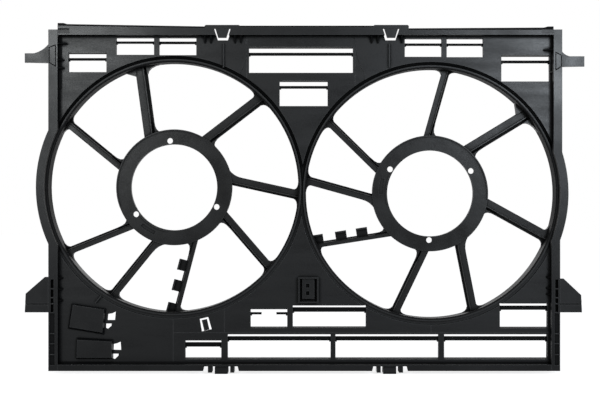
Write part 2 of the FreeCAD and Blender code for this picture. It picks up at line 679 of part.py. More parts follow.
def lip(centre, inner, outer, span, turn):
    """Raised edge along a stretch of the motor ring's face."""
    strip = band(centre, inner, outer, ARM_Y0 - LIP_PROUD, ARM_Y0)
    return strip.common(wedge(centre, span[0] + turn, span[1] + turn, outer, FRONT, REAR))


def radial_rib(centre, angle, y0, y1):
    """Rib behind the motor ring's plate, from the middle of the neck to the middle of the rim."""
    inner = MOTOR_BORE_R + MOTOR_NECK_T / 2
    outer = MOTOR_OUT_R - MOTOR_RIM_T / 2
    shape = block(inner, outer, y0, y1, -RADIAL_RIB_T / 2, RADIAL_RIB_T / 2)
    shape.rotate(FreeCAD.Vector(0, 0, 0), FreeCAD.Vector(0, -1, 0), angle)
    shape.translate(FreeCAD.Vector(centre[0], 0, centre[1]))
    return shape


def arm_point(centre, angle, along, aside):
    """Point of the XZ plane given along an arm's direction and to its left."""
    turn = math.radians(angle)
    return (centre[0] + along * math.cos(turn) - aside * math.sin(turn),
            centre[1] + along * math.sin(turn) + aside * math.cos(turn))


def arm_bar(centre, angle, offset, width):
    """Straight arm of one section: face, ridge, step down to the low side and a web behind."""
    high = offset + width / 2
    low = offset - width / 2
    ridge_in = offset - width * 0.10
    ridge_out = offset - width * 0.26
    web_in = offset - width * 0.18 + ARM_WEB_T / 2
    web_out = web_in - ARM_WEB_T
    face = ARM_Y0 + ARM_RIDGE_PROUD
    back = face + ARM_FACE_T
    drop = face + ARM_STEP_DOWN
    low_back = drop + ARM_FACE_T - ARM_RIDGE_SLOPE
    outline = [(high, face + ARM_EDGE), (high - ARM_EDGE, face), (ridge_in, face),
               (ridge_in - ARM_RIDGE_SLOPE, ARM_Y0), (ridge_out + ARM_RIDGE_SLOPE, ARM_Y0), (ridge_out, face),
               (ridge_out - ARM_RIDGE_SLOPE, drop), (low, drop), (low, low_back), (web_out, low_back),
               (web_out, ARM_Y1), (web_in, ARM_Y1), (web_in, back + ARM_WEB_ROOT), (web_in + ARM_WEB_ROOT, back),
               (high, back)]
    corners = []
    for aside, y in outline:
        x, z = arm_point(centre, angle, 0, aside)
        corners.append(FreeCAD.Vector(x, y, z))
    turn = math.radians(angle)
    reach = FreeCAD.Vector(math.cos(turn), 0, math.sin(turn)).multiply(OPEN_R + PAST)
    return flat_face(corners).extrude(reach)


def flare(centre, angle, plan, y0, y1):
    """Web with one hollow edge of short straight runs, through the second to fourth plan points."""
    start, bend, end = plan[1:4]
    edge = []
    for i in range(FLARE_RUNS + 1):
        t = i / FLARE_RUNS
        edge.append([(1 - t) ** 2 * a + 2 * t * (1 - t) * (2 * m - (a + b) / 2) + t * t * b
                     for a, m, b in zip(start, bend, end)])
    points = [arm_point(centre, angle, along, aside) for along, aside in plan[:1] + edge + plan[4:]]
    return prism(points, y0, y1)


def root_flare(centre, angle, offset, width, side):
    """Curved web that widens an arm where it meets the motor ring."""
    edge = offset + side * width / 2
    out = edge + side * FLARE_WIDE
    start = math.sqrt(MOTOR_OUT_R ** 2 - edge ** 2)
    near = math.sqrt(max(MOTOR_OUT_R ** 2 - out ** 2, 1.0)) - ARM_EDGE
    y0 = ARM_Y0 + ARM_RIDGE_PROUD
    plan = [(start + FLARE_LONG, edge - side * ARM_EDGE), (start + FLARE_LONG, edge),
            (start + FLARE_LONG * 0.30, edge + side * FLARE_WIDE * 0.22), (near, out),
            (start - PAST, edge - side * ARM_EDGE)]
    return flare(centre, angle, plan, y0, y0 + ARM_STEP_DOWN + ARM_FACE_T - ARM_RIDGE_SLOPE)


def tip_flare(centre, angle, edge, side, long, wide, y0):
    """Curved web that widens an arm where it lands on the fan ring."""
    far = edge + side * wide
    near = math.sqrt(OPEN_R ** 2 - edge ** 2) - long
    land = math.sqrt(OPEN_R ** 2 - far ** 2)
    start = math.sqrt(OPEN_R ** 2 - edge ** 2)
    bend = (near * 0.28 + (start + land) / 2 * 0.72, edge + side * wide * 0.30)
    plan = [(near, edge - side * ARM_EDGE), (near, edge), bend, (land, far), (OPEN_R + PAST, far),
            (OPEN_R + PAST, edge - side * ARM_EDGE)]
    return flare(centre, angle, plan, y0, ARM_Y1)


def tip_chord(centre, angle, edge):
    """Flat web on the high side of the widest arm's outer end, straight across to the fan ring."""
    start = math.sqrt(OPEN_R ** 2 - edge ** 2)
    far = edge + TIP_CHORD_WIDE
    land = math.sqrt(OPEN_R ** 2 - far ** 2)
    plan = [(start - TIP_CHORD_LONG, edge - ARM_EDGE), (start - TIP_CHORD_LONG, edge), (land, far),
            (OPEN_R + PAST, far), (OPEN_R + PAST, edge - ARM_EDGE)]
    return prism([arm_point(centre, angle, along, aside) for along, aside in plan], ARM_Y0, ARM_Y1)


def landing(centre, angle, offset, width):
    """Hollow flares on both sides of an arm's outer end."""
    shapes = []
    for side in (-1, 1):
        edge = offset + side * width / 2
        y0 = ARM_Y0 + ARM_RIDGE_PROUD + (ARM_STEP_DOWN if side < 0 else 0.0)
        shapes.append(tip_flare(centre, angle, edge, side, LANDING_LONG, LANDING_WIDE, y0))
    return shapes


def arm(centre, turn, name, angle, offset, width, flare_side):
    """One arm from the motor ring's rim to the fan ring's inner wall."""
    heading = angle + turn
    parts = [arm_bar(centre, heading, offset, width), root_flare(centre, heading, offset, width, flare_side)]
    parts += landing(centre, heading, offset, width)
    if name == WIDEST_ARM:
        parts.append(tip_flare(centre, heading, offset - width / 2, -1, TIP_FLARE_LONG, TIP_FLARE_WIDE, ARM_Y0))
        parts.append(tip_chord(centre, heading, offset + width / 2))
    shape = union(parts)
    return shape.common(band(centre, MOTOR_OUT_R, OPEN_R, FRONT, REAR)).removeSplitter()


def cable_arm(centre, turn):
    """Arm with three comb teeth that hold the motor's cable."""
    heading = CABLE_ARM_TURN + turn
    parts = [arm_bar(centre, heading, CABLE_ARM_OFFSET, CABLE_ARM_W),
             root_flare(centre, heading, CABLE_ARM_OFFSET, CABLE_ARM_W, -1)]
    parts.append(landing(centre, heading, CABLE_ARM_OFFSET, CABLE_ARM_W)[1])
    low = CABLE_ARM_OFFSET - CABLE_ARM_W / 2
    y0 = ARM_Y0 + ARM_RIDGE_PROUD + ARM_STEP_DOWN
    for distance in TOOTH_FROM_RING:
        start = OPEN_R - distance
        plan = [(start, low + ARM_WEB_ROOT), (start + TOOTH_LONG, low + ARM_WEB_ROOT),
                (start + TOOTH_LONG, low - TOOTH_OUT), (start, low - TOOTH_OUT)]
        points = [arm_point(centre, heading, along, aside) for along, aside in plan]
        parts.append(prism(points, y0, y0 + TOOTH_T))
        edge = [(start, low - TOOTH_OUT + TOOTH_T), (start + TOOTH_LONG, low - TOOTH_OUT + TOOTH_T),
                (start + TOOTH_LONG, low - TOOTH_OUT), (start, low - TOOTH_OUT)]
        points = [arm_point(centre, heading, along, aside) for along, aside in edge]
        parts.append(prism(points, y0 - TOOTH_LIP, y0 + TOOTH_T))
    shape = union(parts)
    return shape.common(band(centre, MOTOR_OUT_R, OPEN_R, FRONT, REAR)).removeSplitter()


# Latches in the top rail

def latch_slot(x):
    """Opening around a latch tongue, wide above and narrow below, through rail, wall and sheet."""
    low = LATCH_ROOT_Z - LATCH_TONGUE_LONG - LATCH_SLOT_GAP
    top = LATCH_SLOT_TOP_W / 2
    bottom = LATCH_SLOT_LOW_W / 2
    points = [(x - top, LATCH_ROOT_Z), (x + top, LATCH_ROOT_Z), (x + bottom, low), (x - bottom, low)]
    return prism(points, FRONT - PAST, PANEL_Y1 + FRAME_DEEP)


def latch_tongue(x):
    """Snap tongue that hangs in its slot from a thin root, with a hook at its tip."""
    top_z = LATCH_ROOT_Z - FLEX_GAP
    tip_z = LATCH_ROOT_Z - LATCH_TONGUE_LONG
    top = LATCH_SLOT_TOP_W / 2 - LATCH_SLOT_GAP
    bottom = LATCH_SLOT_LOW_W / 2 - LATCH_SLOT_GAP * 0.7
    plate = prism([(x - top, top_z), (x + top, top_z), (x + bottom, tip_z), (x - bottom, tip_z)],
                  FRONT, FRONT + LATCH_TONGUE_T)
    points = [(FRONT + LATCH_TONGUE_T, tip_z), (FRONT + LATCH_TONGUE_T + LATCH_HOOK_OUT, tip_z),
              (FRONT + LATCH_TONGUE_T, tip_z + LATCH_HOOK_H)]
    hook = flat_face([FreeCAD.Vector(x - bottom, y, z) for y, z in points]).extrude(FreeCAD.Vector(2 * bottom, 0, 0))
    return plate.fuse(hook).removeSplitter()


def latch_block(x):
    """Thicker stretch of the top rail around a latch, with bevelled upper corners."""
    top = BODY_TOP + LATCH_BLOCK_UP
    half = LATCH_BLOCK_W / 2
    low = WALL_TOP + WALL_T
    edge = LATCH_BLOCK_EDGE
    points = [(x - half, low), (x - half, top - edge), (x - half + edge, top), (x + half - edge, top),
              (x + half, top - edge), (x + half, low)]
    return prism(points, FRONT, FRONT + 3 * FLANGE_T)


# Small ribs and pockets

def wall_gusset(z, side, long):
    """Triangular rib between a side wall and the sheet."""
    x0 = WALL_LEFT if side < 0 else WALL_RIGHT - (LOWER_RIGHT_STEP if z < MID_Z else 0.0)
    points = [(x0, PANEL_Y0 - GUSSET_H), (x0, PANEL_Y0), (x0 - side * long, PANEL_Y0)]
    corners = [FreeCAD.Vector(x, y, z - GUSSET_T / 2) for x, y in points]
    return flat_face(corners).extrude(FreeCAD.Vector(0, 0, GUSSET_T))


def wall_gussets():
    """Gussets of the left and the right wall, a long one at the top of each."""
    left = []
    for i, drop in enumerate(LEFT_GUSSET_DROPS):
        left.append(wall_gusset(WALL_TOP - drop, -1, LONG_GUSSET if i == 0 else SHORT_GUSSET))
    right = []
    for i, drop in enumerate(RIGHT_GUSSET_DROPS):
        right.append(wall_gusset(WALL_TOP - drop, 1, LONG_GUSSET if i == 0 else STUB_GUSSET))
    left += [wall_gusset(WALL_BOTTOM + rise, -1, LOW_GUSSET) for rise in LEFT_GUSSET_RISES]
    right += [wall_gusset(WALL_BOTTOM + rise, 1, LOW_GUSSET) for rise in RIGHT_GUSSET_RISES]
    return left, right


def top_gusset(x):
    """Triangular rib between the top wall and the sheet."""
    points = [(PANEL_Y0 - GUSSET_H, WALL_TOP), (PANEL_Y0, WALL_TOP), (PANEL_Y0, WALL_TOP - TOP_GUSSET_LONG)]
    corners = [FreeCAD.Vector(x - GUSSET_T / 2, y, z) for y, z in points]
    return flat_face(corners).extrude(FreeCAD.Vector(GUSSET_T, 0, 0))


def flange_span(side):
    """Outer edge and wall-side edge of a lower side flange."""
    if side < 0:
        return BODY_LEFT, WALL_LEFT - WALL_T
    return BODY_RIGHT - LOWER_RIGHT_STEP, WALL_RIGHT - LOWER_RIGHT_STEP + WALL_T


def ear_root(side):
    """Thicker stretch of flange behind the root of a lower ear."""
    x0, x1 = sorted(flange_span(side))
    z0 = BODY_BOTTOM + POCKET_RISES[-1 - CHANNEL_ROWS]
    z1 = BODY_BOTTOM + POCKET_RISES[-1] + POCKET_RIB
    return block(x0, x1, FRONT, FRONT + CHANNEL_DEEP + CHANNEL_FLOOR, z0, z1)


def flange_pockets(side):
    """Ladder of pockets low in a side flange: a deep narrow channel by the ear and shallow cells below it."""
    outer, inner = flange_span(side)
    x0, x1 = sorted((outer - side * POCKET_MARGIN, inner + side * POCKET_MARGIN))
    middle = (x0 + x1) / 2
    pockets = []
    for i, (low, high) in enumerate(zip(POCKET_RISES, POCKET_RISES[1:])):
        z0 = BODY_BOTTOM + low + POCKET_RIB / 2
        z1 = BODY_BOTTOM + high - POCKET_RIB / 2
        if i >= len(POCKET_RISES) - 1 - CHANNEL_ROWS:
            pockets.append(block(middle - CHANNEL_W / 2, middle + CHANNEL_W / 2, FRONT - PAST,
                                 FRONT + CHANNEL_DEEP, z0, z1))
        else:
            pockets.append(block(x0, x1, FRONT - PAST, FRONT + POCKET_DEEP, z0, z1))
    return pockets


# Ears and feet

def pick(pair, side):
    """Value for the left side or the right one."""
    return pair[0] if side < 0 else pair[1]


def ear_pocket(side):
    """Narrow groove round the root of an upper ear, in the flange."""
    edge, inner = (BODY_LEFT, WALL_LEFT - WALL_T) if side < 0 else (BODY_RIGHT, WALL_RIGHT + WALL_T)
    x0 = edge - side * EAR_POCKET_MARGIN
    x1 = inner
    z1 = pick(UPPER_EAR_TOPS, side)
    z0 = z1 - pick(UPPER_EAR_HEIGHTS, side)
    top = z1 + pick(UPPER_EAR_FLARES, side)
    points = [(x0, z0), (x0, top - EAR_POCKET_SLANT), (x1, top), (x1, z0 - EAR_POCKET_DOWN)]
    if side > 0:
        points.reverse()
    groove = prism(points, FRONT - PAST, FRONT + EAR_POCKET_DEEP)
    return groove.cut(prism(inset(points, [EAR_POCKET_LINE] * 4), FRONT - 2 * PAST, FRONT + PAST))


def upper_ear(side):
    """Tongue that slides into the radiator's side bracket, with a flared root and two ribs behind."""
    edge = BODY_LEFT if side < 0 else BODY_RIGHT
    reach = EAR_LONG_LEFT if side < 0 else EAR_LONG_RIGHT
    tip = edge + side * reach
    z1 = pick(UPPER_EAR_TOPS, side)
    z0 = z1 - pick(UPPER_EAR_HEIGHTS, side)
    flare_up = pick(UPPER_EAR_FLARES, side)
    start = reach * pick(UPPER_EAR_FLARE_REACH, side)
    spots = [(tip, z0), (tip, z1), (edge + side * start, z1),
             (edge + side * start * 0.45, z1 + flare_up * 0.36), (edge, z1 + flare_up), (edge, z0)]
    corner = [FreeCAD.Vector(x, FRONT, z) for x, z in spots]
    curve = Part.Arc(corner[2], corner[3], corner[4]).toShape()
    edges = runs(corner[:3]) + [curve] + runs(corner[4:] + corner[:1])
    plate = Part.Face(Part.Wire(edges)).extrude(FreeCAD.Vector(0, EAR_T, 0))
    ribs = [ear_rib(edge, tip - side * EAR_RIB_SHORT, z) for z in (z0, z1 - EAR_RIB_T)]
    return union([plate] + ribs)


def ear_rib(x_root, x_tip, z):
    """Tapering rib behind an ear."""
    points = [(x_root, FRONT + EAR_T), (x_tip, FRONT + EAR_T), (x_root, FRONT + EAR_T + EAR_RIB_DEEP)]
    return flat_face([FreeCAD.Vector(x, y, z) for x, y in points]).extrude(FreeCAD.Vector(0, 0, EAR_RIB_T))


def lower_ear(side):
    """Three-cornered ear with two slide ribs along its foot and ribs behind."""
    edge = flange_span(side)[0]
    tip = edge + side * (EAR_LONG_LEFT if side < 0 else LOWER_EAR_LONG_RIGHT)
    z0 = LOWER_EAR_Z
    z1 = z0 + pick(LOWER_EAR_HEIGHTS, side)
    tip_z = z0 + pick(LOWER_EAR_TIPS, side)
    shoulder = edge + side * LOWER_EAR_SHOULDER
    plate = prism([(edge, z0), (tip, z0), (tip - side * LOWER_EAR_LEAN, tip_z), (shoulder, z1), (edge, z1)],
                  FRONT, FRONT + EAR_T)
    x0, x1 = min(edge, tip), max(edge, tip)
    ribs = []
    for row in range(2):
        z = z0 + SLIDE_RIB_UP + row * (SLIDE_RIB_H + SLIDE_RIB_GAP)
        ribs.append(block(x0, x1, FRONT + EAR_T, FRONT + EAR_T + SLIDE_RIB_OUT, z, z + SLIDE_RIB_H))
    groove_z = z0 + SLIDE_RIB_UP + SLIDE_RIB_H
    groove = block(x0 - PAST, x1 + PAST, FRONT - PAST, FRONT + SLIDE_GROOVE_DEEP, groove_z, groove_z + SLIDE_RIB_GAP)
    back = [ear_rib(edge, tip - side * EAR_RIB_SHORT, z) for z in (z0, tip_z - EAR_RIB_T)]
    return union([plate.cut(groove)] + ribs + back)


def foot(x):
    """Foot block with a prong on each side, which stand in the lower radiator bracket."""
    y0 = FRONT + FOOT_SETBACK
    y1 = y0 + FOOT_DEEP
    top = BODY_BOTTOM + BOTTOM_FLANGE_W
    middle = block(x - FOOT_W / 2, x + FOOT_W / 2, y0, y1, 0, top)
    toes = [e for e in middle.Edges if e.BoundBox.ZMax < 1e-6 and e.BoundBox.XLength > FOOT_W / 2]
    middle = middle.makeChamfer(FOOT_CHAMFER, toes)
    parts = [middle]
    for side in (-1, 1):
        centre = x + side * (PRONG_OUT - PRONG_W / 2)
        parts.append(block(centre - PRONG_W / 2, centre + PRONG_W / 2, FRONT + FLANGE_T, y1 - PRONG_SHORT,
                           PRONG_UP, top))
    return parts


def foot_notch(x):
    """Gap in the bottom flange around a foot."""
    half = FOOT_NOTCH_W / 2
    top = BODY_BOTTOM + BOTTOM_FLANGE_W
    return prism([(x - half, BODY_BOTTOM - PAST), (x - half + FOOT_NOTCH_SLANT, top),
                  (x + half - FOOT_NOTCH_SLANT, top), (x + half, BODY_BOTTOM - PAST)],
                 FRONT - PAST, FRONT + FLANGE_T)


# Wire clip, bracket, pads and corner clips

def clip_frame(points, y0, y1):
    """Prism given in the wire clip's own tilted axes."""
    turn = math.radians(90.0 + CLIP_TILT)
    along = (math.cos(turn), math.sin(turn))
    aside = (math.sin(turn), -math.cos(turn))
    spots = [(CLIP_X + a * aside[0] + u * along[0], CLIP_Z + a * aside[1] + u * along[1]) for a, u in points]
    return prism(spots, y0, y1)


def clip_slot():
    """Opening around the wire clip."""
    half = CLIP_W / 2 + CLIP_SLOT
    top = CLIP_LONG + CLIP_TOP_SLOT
    points = [(-half, 0), (half, 0), (half - CLIP_SLOT_TAPER, top), (-half + CLIP_SLOT_TAPER, top)]
    return clip_frame(points, FRONT, REAR)


def wire_clip():
    """Springy tongue that holds a wire against the sheet, with a barb at its tip."""
    half = CLIP_W / 2
    y0 = PANEL_Y0
    low = CLIP_LONG - CLIP_BARB_LONG
    plate = clip_frame([(-half, FLEX_GAP), (half, FLEX_GAP), (half, CLIP_LONG), (-half, CLIP_LONG)],
                       y0, y0 + CLIP_T)
    barb = clip_frame([(-half, low), (half, low), (half, CLIP_LONG), (-half, CLIP_LONG)], y0 - CLIP_BARB, y0)
    return plate.fuse(barb).removeSplitter()


def connector_bracket():
    """Open box for a connector: side cheeks, a roof, a foot and an inner plate with two slots."""
    x0, x1 = BRACKET_X - BRACKET_W / 2, BRACKET_X + BRACKET_W / 2
    z0, z1 = BRACKET_Z, BRACKET_Z + BRACKET_H
    front = PANEL_Y0 - BRACKET_OUT
    wall = BRACKET_WALL
    shell = block(x0, x1, front, PANEL_Y0, z0, z1)
    inside = block(x0 + wall, x1 - wall, front - PAST, PANEL_Y0 - wall, z0 + wall, z1 - wall)
    half = BRACKET_PLATE_W / 2
    plate = block(BRACKET_X - half, BRACKET_X + half, front + BRACKET_PLATE_BACK, PANEL_Y0 - wall,
                  z0 + wall + BRACKET_PLATE_UP, z1 - wall)
    slot_x = BRACKET_X - BRACKET_SLOT_ASIDE - BRACKET_SLOT_W / 2
    for rise in BRACKET_SLOT_RISES:
        plate = plate.cut(block(slot_x, slot_x + BRACKET_SLOT_W, front, PANEL_Y0 - wall - BRACKET_SLOT_FLOOR,
                                z0 + rise, z0 + rise + BRACKET_SLOT_H))
    return union([shell.cut(inside), plate])


def inset(points, amounts):
    """Clockwise polygon with each side moved inwards by its own amount."""
    moved = []
    for i, amount in enumerate(amounts):
        (xa, za), (xb, zb) = points[i], points[(i + 1) % len(points)]
        run = math.hypot(xb - xa, zb - za)
        shift = ((zb - za) / run * amount, -(xb - xa) / run * amount)
        moved.append(((xa + shift[0], za + shift[1]), (xb - xa, zb - za)))
    corners = []
    for i in range(len(points)):
        (pa, da), (pb, db) = moved[i - 1], moved[i]
        cross = da[0] * db[1] - da[1] * db[0]
        share = ((pb[0] - pa[0]) * db[1] - (pb[1] - pa[1]) * db[0]) / cross
        corners.append((pa[0] + share * da[0], pa[1] + share * da[1]))
    return corners


def frustum(base, top, y_base, y_top):
    """Solid with flat sloping sides between two polygons whose sides are parallel."""
    low = [FreeCAD.Vector(x, y_base, z) for x, z in base]
    high = [FreeCAD.Vector(x, y_top, z) for x, z in top]
    faces = [flat_face(low), flat_face(high)]
    for i in range(len(low)):
        j = (i + 1) % len(low)
        faces.append(flat_face([low[i], low[j], high[j], high[i]]))
    solid = Part.Solid(Part.Shell(faces))
    solid.fix(1e-6, 1e-6, 1e-6)
    return solid


def pad_cover(plan, slopes):
    """Raised pad: a hollow plateau with sloping sides, standing off the sheet."""
    base = from_corner(plan)
    top = inset(base, slopes)
    front = PANEL_Y0 - PAD_OUT
    outer = frustum(base, top, PANEL_Y0, front)
    walls = [PAD_WALL] * len(plan)
    inner = frustum(inset(base, walls), inset(top, walls), PANEL_Y0, front + PAD_WALL)
    return outer.cut(inner)


def pad_stay():
    """Thin oblique stay on the sheet between the upper pad and the ring."""
    (x0, z0), (x1, z1) = from_corner(PAD_STAY)
    run = math.hypot(x1 - x0, z1 - z0)
    side = (-(z1 - z0) / run * GUSSET_T / 2, (x1 - x0) / run * GUSSET_T / 2)
    points = [(x0 + side[0], z0 + side[1]), (x1 + side[0], z1 + side[1]),
              (x1 - side[0], z1 - side[1]), (x0 - side[0], z0 - side[1])]
    return prism(points, PANEL_Y0 - PAD_STAY_H, PANEL_Y0)


def corner_clip_start(side):
    """Left end of a corner clip."""
    if side < 0:
        return WALL_LEFT + CORNER_CLIP_IN
    return WALL_RIGHT - CORNER_CLIP_IN - CORNER_CLIP_LONG


def corner_clip_notch(side):
    """Place of a corner clip in the top rail."""
    x0 = corner_clip_start(side)
    z0 = WALL_TOP + WALL_T
    return block(x0, x0 + CORNER_CLIP_LONG, FRONT - PAST, FRONT + FLANGE_T, z0, z0 + CORNER_CLIP_H)


def clip_section(margin):
    """Section of a corner clip across its length, with bevelled edges, drawn in by a margin."""
    y0, y1 = FRONT + margin, FRONT + CORNER_CLIP_DEEP - margin
    z0, z1 = WALL_TOP + WALL_T + margin, WALL_TOP + WALL_T + CORNER_CLIP_H - margin
    edge = CORNER_CLIP_EDGE * (1 - margin / CORNER_CLIP_DEEP)
    return [(y0, z0), (y0, z1 - edge), (y0 + edge, z1), (y1 - edge, z1), (y1, z1 - edge), (y1, z0)]


def corner_clip(side):
    """Short hollow block with bevelled edges, standing on the top wall at the end of the rail."""
    x0 = corner_clip_start(side)
    bore_x = x0 + CORNER_CLIP_LONG - CORNER_CLIP_BORE if side < 0 else x0 - PAST
    body = flat_face([FreeCAD.Vector(x0, y, z) for y, z in clip_section(0.0)])
    bore = flat_face([FreeCAD.Vector(bore_x, y, z) for y, z in clip_section(CORNER_CLIP_WALL)])
    along = FreeCAD.Vector(1, 0, 0)
    return body.extrude(along * CORNER_CLIP_LONG).cut(bore.extrude(along * (CORNER_CLIP_BORE + PAST)))


# Assembly

def top_lips():
    """Step along the front of the top rail's upper edge, between the latch blocks and the side rails."""
    left_end = LATCH_X[0] - LATCH_BLOCK_W / 2
    mid_start = LATCH_X[0] + LATCH_BLOCK_W / 2
    mid_end = LATCH_X[1] - LATCH_BLOCK_W / 2
    right_start = LATCH_X[1] + LATCH_BLOCK_W / 2
    left_low = BODY_TOP + TOP_RISE_LEFT - TOP_LIP_H
    over = BODY_TOP + 2 * PAST
    y0, y1 = FRONT - PAST, FRONT + TOP_LIP_DEEP
    return [prism([(WALL_LEFT, left_low), (left_end, left_low - TOP_RAIL_SLOPE), (left_end, over),
                   (WALL_LEFT, over)], y0, y1),
            block(mid_start, mid_end, y0, y1, BODY_TOP + TOP_RISE_CENTRE - TOP_LIP_H, over),
            block(right_start, WALL_RIGHT, y0, y1, BODY_TOP - TOP_DROP_RIGHT - TOP_LIP_H, over)]


def rails():
    """Perimeter parted into left, right, top and bottom rails, each with its ribs and cuts."""
    shape = perimeter()
    for x in LATCH_X:
        shape = shape.fuse(latch_block(x)).cut(latch_slot(x))
    for step in top_lips():
        shape = shape.cut(step)
    for side in (-1, 1):
        shape = shape.cut(corner_clip_notch(side))
        shape = shape.fuse(ear_root(side)).cut(ear_pocket(side))
    left_zone = block(-FAR, WALL_LEFT, -FAR, FAR, -FAR, FAR)
    right_zone = block(WALL_RIGHT, FAR, -FAR, FAR, MID_Z, FAR)
    right_low = block(WALL_RIGHT - LOWER_RIGHT_STEP, FAR, -FAR, FAR, -FAR, MID_Z)
    right_zone = right_zone.fuse(right_low)
    left = shape.common(left_zone)
    right = shape.common(right_zone)
    middle = shape.cut(left_zone).cut(right_zone)
    top = middle.common(block(-FAR, FAR, -FAR, FAR, MID_Z, FAR))
    bottom = middle.common(block(-FAR, FAR, -FAR, FAR, -FAR, MID_Z))
    for pocket in flange_pockets(-1):
        left = left.cut(pocket)
    for pocket in flange_pockets(1):
        right = right.cut(pocket)
    for x in FOOT_X:
        bottom = bottom.cut(foot_notch(x))
    gussets_left, gussets_right = wall_gussets()
    gussets_top = [top_gusset(LATCH_X[0] + x) for x in LEFT_LATCH_GUSSETS]
    gussets_top += [top_gusset(LATCH_X[1] + x) for x in RIGHT_LATCH_GUSSETS]
    return {"rail_left": union([left, side_foot()] + gussets_left), "rail_right": union([right] + gussets_right),
            "rail_top": union([top] + gussets_top), "rail_bottom": union([bottom, sill_foot()])}


def centre_recess():
    """Shallow recess round the middle windows, bounded by a curved step on each side."""
    w4_left, w4_right = WINDOWS["w4"][:2]
    low = WINDOWS["w5"][2] - RECESS_UNDER_W5
    y0 = PANEL_Y0 - PAST
    left = [FreeCAD.Vector(w4_left - aside, y0, WALL_TOP - drop) for aside, drop in RECESS_LEFT]
    right = [FreeCAD.Vector(w4_right + aside, y0, WALL_TOP - drop) for aside, drop in RECESS_RIGHT]
    low_left = FreeCAD.Vector(left[-1].x, y0, low)
    low_right = FreeCAD.Vector(right[-1].x, y0, low)
    edges = [Part.Arc(*left).toShape()] + runs([left[-1], low_left, low_right, right[-1]])
    edges += [Part.Arc(*reversed(right)).toShape()] + runs([right[0], left[0]])
    return Part.Face(Part.Wire(edges)).extrude(FreeCAD.Vector(0, PAST + RECESS_DEEP, 0))


def sheet():
    """Flat sheet between the wall and the rings, with every opening through it."""
    shape = tray(0, PANEL_Y0, PANEL_Y1)
    for centre in (LEFT_CENTRE, RIGHT_CENTRE):
        shape = shape.cut(disc(centre, JOINT_R, FRONT, REAR))
    shape = shape.cut(centre_recess())
    for name in WINDOWS:
        shape = shape.cut(window_hole(name, FRONT, REAR))
    for x in LATCH_X:
        shape = shape.cut(latch_slot(x))
    shape = shape.cut(clip_slot())
    for points in PAD_SLOTS:
        shape = shape.cut(prism(from_corner(points), FRONT, REAR))
    return shape


def between(name_a, name_b):
    """Middle of the post between two neighbouring windows."""
    return (WINDOWS[name_a][1] + WINDOWS[name_b][0]) / 2


def panels():
    """Sheet parted into the regions around the rings."""
    whole = sheet()
    left_cut = between("w2", "w3")
    centre_left = WINDOWS["w4"][0] - CENTRE_PANEL_MARGIN
    centre_right = WINDOWS["w4"][1] + CENTRE_PANEL_MARGIN
    right_cut = between("w6", "w7")
    clip_left = LEFT_CENTRE[0]
    clip_right = between("w9", "w10")
    low_right = RIGHT_CENTRE[0]
    zones = {
        "panel_upper_left": (-FAR, left_cut, LEFT_CENTRE[1], FAR),
        "panel_latch_left": (left_cut, centre_left, LEFT_CENTRE[1], FAR),
        "panel_upper_centre": (centre_left, centre_right, MID_Z, FAR),
        "panel_latch_right": (centre_right, right_cut, RIGHT_CENTRE[1], FAR),
        "panel_upper_right": (right_cut, FAR, RIGHT_CENTRE[1], FAR),
        "panel_lower_left": (-FAR, clip_left, -FAR, LEFT_CENTRE[1]),
        "panel_clip": (clip_left, clip_right, GRILLE_TOP, LEFT_CENTRE[1]),
        "panel_lower_centre": (clip_right, low_right, GRILLE_TOP, MID_Z),
        "panel_lower_right": (low_right, FAR, GRILLE_TOP, RIGHT_CENTRE[1]),
        "lower_grille": (clip_left, FAR, -FAR, GRILLE_TOP),
    }
    result = {}
    for name, (x0, x1, z0, z1) in zones.items():
        result[name] = whole.common(block(x0, x1, FRONT, REAR, z0, z1))
    rib_top = WALL_TOP - TOP_GUSSET_LONG
    for name, latch_x, aside in (("panel_latch_left", LATCH_X[0], LATCH_RIB_ASIDE[0]),
                                 ("panel_latch_right", LATCH_X[1], LATCH_RIB_ASIDE[1])):
        x = latch_x + aside
        rib = block(x - GUSSET_T / 2, x + GUSSET_T / 2, PANEL_Y0 - LATCH_RIB_PROUD, PANEL_Y0,
                    rib_top - LATCH_RIB_LONG, rib_top)
        result[name] = result[name].fuse(rib).removeSplitter()
    result["panel_lower_left"] = result["panel_lower_left"].fuse(pad_stay()).removeSplitter()
    return result


FRAME_GROUPS = {
    "flap_frame_upper_left": ("w1", "w2"),
    "flap_frame_latch_left": ("w3",),
    "flap_frame_upper_centre": ("w4", "w5"),
    "flap_frame_latch_right": ("w6",),
    "flap_frame_upper_right": ("w7", "w8"),
    "flap_frame_low_1": ("w9",),
    "flap_frame_low_2": ("w10",),
    "flap_frame_low_3": ("w11",),
    "flap_frame_low_4": ("w12",),
    "flap_frame_mid_low": ("w13", "w14"),
    "flap_frame_right_low": ("w15",),
}


